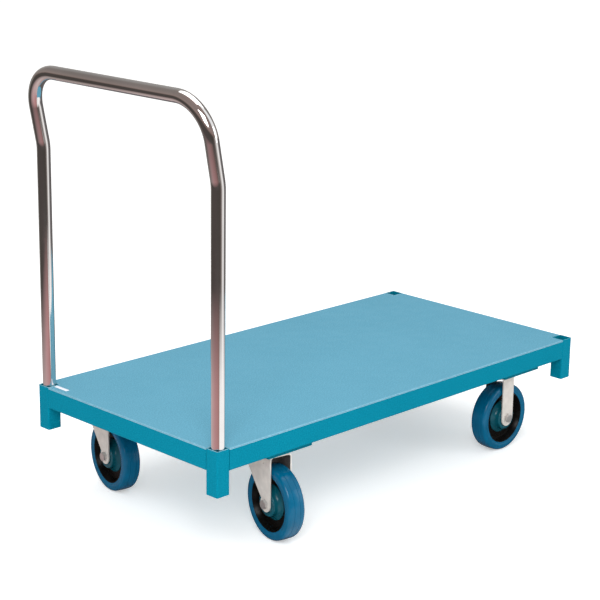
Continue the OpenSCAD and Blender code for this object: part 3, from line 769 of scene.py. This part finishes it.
def buildFixedPlate(caster):
    (halfX, halfY), corner = plate["half"], plate["corner"]
    outline = []
    for sx, sy, start in ((1, 1, 0), (-1, 1, 90), (-1, -1, 180), (1, -1, 270)):
        outline += [(x + sx * (halfX - corner), y + sy * (halfY - corner))
                    for x, y in arc(0, 0, corner, start, start + 90, 6)]
    around = plate["hole"] + plate["holeRoom"]
    boltX, boltY = plate["bolts"]
    xCuts = [side * boltX + edge for side in (-1, 1) for edge in (-around, around)]
    yCuts = [side * boltY + edge for side in (-1, 1) for edge in (-around, around)]
    bm = layFlat(outline, xCuts, yCuts)
    for sx in (-1, 1):
        for sy in (-1, 1):
            pressRound(bm, sx * boltX, sy * boltY, plate["hole"], around)
    bmesh.ops.recalc_face_normals(bm, faces=bm.faces)
    if bm.faces[:][0].normal.z < 0:
        bmesh.ops.reverse_faces(bm, faces=bm.faces)
    bmesh.ops.transform(bm, matrix=forkPlace(caster), verts=bm.verts)
    giveWall(finishPiece(caster + "_fork_plate", bm, caster + "_fork", 40), plate["thick"])


for caster in casters[:2]:
    swivelFork(caster)
for caster in casters[2:]:
    fixedFork(caster)
print("forks pressed")


floorZ = cadBox[0].z
view = {
    "place": (-2.87174, -2.78266, 1.26163), "azimuth": -45.249, "elevation": 15.577, "roll": 0.859,
    "lens": 105.384,
}


def buildCamera():
    azimuth, elevation, roll = (math.radians(view[k]) for k in ("azimuth", "elevation", "roll"))
    level = math.cos(elevation)
    back = Vector((math.sin(azimuth) * level, -math.cos(azimuth) * level, math.sin(elevation)))
    right = (-back).cross(Vector((0, 0, 1))).normalized()
    up = right.cross(-back)
    cameraX = math.cos(roll) * right + math.sin(roll) * up
    cameraY = -math.sin(roll) * right + math.cos(roll) * up
    data = bpy.data.cameras.new("camera")
    data.lens = view["lens"]
    data.clip_start, data.clip_end = 0.05, 60
    camera = bpy.data.objects.new("camera", data)
    bpy.context.scene.collection.objects.link(camera)
    turned = Matrix((cameraX, cameraY, back)).transposed().to_4x4()
    camera.matrix_world = Matrix.Translation(view["place"]) @ turned
    bpy.context.scene.camera = camera


def combine(material, operation, first, second):
    node = addNode(material, "ShaderNodeMath", operation=operation)
    for socket, source in zip(node.inputs, (first, second)):
        if isinstance(source, bpy.types.NodeSocket):
            material.node_tree.links.new(source, socket)
        else:
            socket.default_value = source
    return node.outputs[0]


room = {
    "middle": (-0.5825, -0.2825), "nearRing": 1.05, "farRing": 2.2,  # round the near leg
    "floorSize": 30, "pale": (0.90, 0.90, 0.90), "dull": (0.89, 0.89, 0.89), "lift": 0.35,
    "ambient": (0.80, 0.80, 0.80), "backdrop": (1.0, 1.0, 1.0),
    "black": (0, 0, 0), "edge": (0.12, 0.11, 0.11), "white": (1.12, 1.12, 1.11),
}
nearBands = [  # what a mirror sees low down, by heading from -180 to 180 degrees
    (-180, (0.54, 0.29, 0.29)), (-135, (0.46, 0.215, 0.21)), (-113, (0.36, 0.19, 0.17)),
    (-106, room["white"]), (-16, room["white"]), (-5, room["edge"]), (79, room["edge"]),
    (88, (0.50, 0.36, 0.35)), (104, (0.66, 0.54, 0.52)), (119, (0.60, 0.45, 0.44)),
    (158, (0.57, 0.35, 0.35)), (180, (0.54, 0.29, 0.29)),
]
farBands = [
    (-180, (0.060, 0.048, 0.045)), (-135, (0.050, 0.043, 0.038)), (-108, (0.045, 0.036, 0.030)),
    (-88, (0.13, 0.105, 0.095)), (-70, (0.60, 0.57, 0.55)), (-52, room["white"]),
    (-28, room["edge"]), (80, room["edge"]), (95, (0.32, 0.31, 0.28)),
    (108, (0.055, 0.048, 0.042)), (180, (0.060, 0.048, 0.045)),
]
wallBands = [
    (-180, (0.33, 0.25, 0.23)), (-80, (0.33, 0.25, 0.23)), (-72, room["edge"]),
    (-66, room["white"]), (-20, room["white"]), (-12, (0.20, 0.18, 0.17)), (60, (0.42, 0.40, 0.38)),
    (100, (0.27, 0.235, 0.215)), (180, (0.33, 0.25, 0.23)),
]
ceilingBands = [  # by height, 0 at the horizon and 1 overhead
    (0.0, (0.72, 0.66, 0.63)), (0.12, (1, 1, 1)), (0.55, (0.85, 0.88, 0.90)), (0.95, (1, 1, 1)),
]


def headingRamp(material, heading, bands):
    share = spread(material, heading, -math.pi, math.pi, 0, 1)
    return ramp(material, share, *[((degrees + 180) / 360, colour) for degrees, colour in bands])


def apart(material, vector):
    node = addNode(material, "ShaderNodeSeparateXYZ")
    material.node_tree.links.new(vector, node.inputs["Vector"])
    return node.outputs["X"], node.outputs["Y"], node.outputs["Z"]


# the room that only bare metal shows: two rings of bands on the floor, and the walls
def mirroredFloor(material):
    x, y, _ = apart(material, objectPoint(material))
    x = combine(material, "SUBTRACT", x, room["middle"][0])
    y = combine(material, "SUBTRACT", y, room["middle"][1])
    heading = combine(material, "ARCTAN2", y, x)
    xSquare, ySquare = (combine(material, "MULTIPLY", side, side) for side in (x, y))
    radius = combine(material, "SQRT", combine(material, "ADD", xSquare, ySquare), 0)
    away = spread(material, radius, room["nearRing"], room["farRing"], 0, 1)
    near, far = (headingRamp(material, heading, bands) for bands in (nearBands, farBands))
    return blendColours(material, away, near, far)


def buildFloor():
    bm = bmesh.new()
    bmesh.ops.create_grid(bm, x_segments=1, y_segments=1, size=room["floorSize"])
    bmesh.ops.translate(bm, verts=bm.verts, vec=(0, 0, floorZ))
    mesh = bpy.data.meshes.new("floor")
    bm.to_mesh(mesh)
    bm.free()
    material = startMaterial("floorSweep", room["pale"], 0.9)
    rays = addNode(material, "ShaderNodeLightPath").outputs
    sheen, seen = rays["Is Glossy Ray"], rays["Is Camera Ray"]
    pale = ramp(material, addNoise(material, 0.8, 2), (0.3, room["dull"]), (0.7, room["pale"]))
    glow = blendColours(material, sheen, room["white"], mirroredFloor(material))
    lift = combine(material, "MULTIPLY", seen, room["lift"])
    useOnShader(material, Base_Color=blendColours(material, sheen, pale, room["black"]),
                Emission_Color=glow, Emission_Strength=combine(material, "ADD", lift, sheen))
    mesh.materials.append(material)
    floor = bpy.data.objects.new("floor", mesh)
    bpy.context.scene.collection.objects.link(floor)


lamps = {
    "keySoftbox": {
        "place": (-2.3, -2.0, 1.9), "target": (-0.4, -0.2, -0.1), "size": (1.5, 1.5), "power": 62,
    },
    "topSoftbox": {
        "place": (0.1, 0.1, 2.7), "target": (0.1, 0.0, 0.0), "size": (2.4, 2.0), "power": 30,
    },
    "sideSoftbox": {
        "place": (1.4, -2.6, 0.9), "target": (0.2, 0, 0), "size": (0.8, 1.6), "power": 10,
    },
}


def addSoftbox(name, lamp):
    data = bpy.data.lights.new(name, "AREA")
    data.shape = "RECTANGLE"
    data.size, data.size_y = lamp["size"]
    data.energy = lamp["power"]
    softbox = bpy.data.objects.new(name, data)
    bpy.context.scene.collection.objects.link(softbox)
    aim = (Vector(lamp["target"]) - Vector(lamp["place"])).to_track_quat("-Z", "Y")
    softbox.matrix_world = Matrix.Translation(lamp["place"]) @ aim.to_matrix().to_4x4()


def buildWorld():
    world = bpy.data.worlds.new("studio")
    world.use_nodes = True
    bpy.context.scene.world = world
    x, y, z = apart(world, addNode(world, "ShaderNodeTexCoord").outputs["Generated"])
    walls = headingRamp(world, combine(world, "ARCTAN2", y, x), wallBands)
    ceiling = ramp(world, z, *ceilingBands)
    mirrored = blendColours(world, 1.0, walls, ceiling, "MULTIPLY")
    rays = addNode(world, "ShaderNodeLightPath").outputs
    unseen = blendColours(world, rays["Is Glossy Ray"], room["ambient"], mirrored)
    seen = blendColours(world, rays["Is Camera Ray"], unseen, room["backdrop"])
    world.node_tree.links.new(seen, world.node_tree.nodes["Background"].inputs["Color"])


buildCamera()
buildFloor()
buildWorld()
for name, lamp in lamps.items():
    addSoftbox(name, lamp)
bpy.context.scene.view_settings.view_transform = "Standard"
print("stage set")
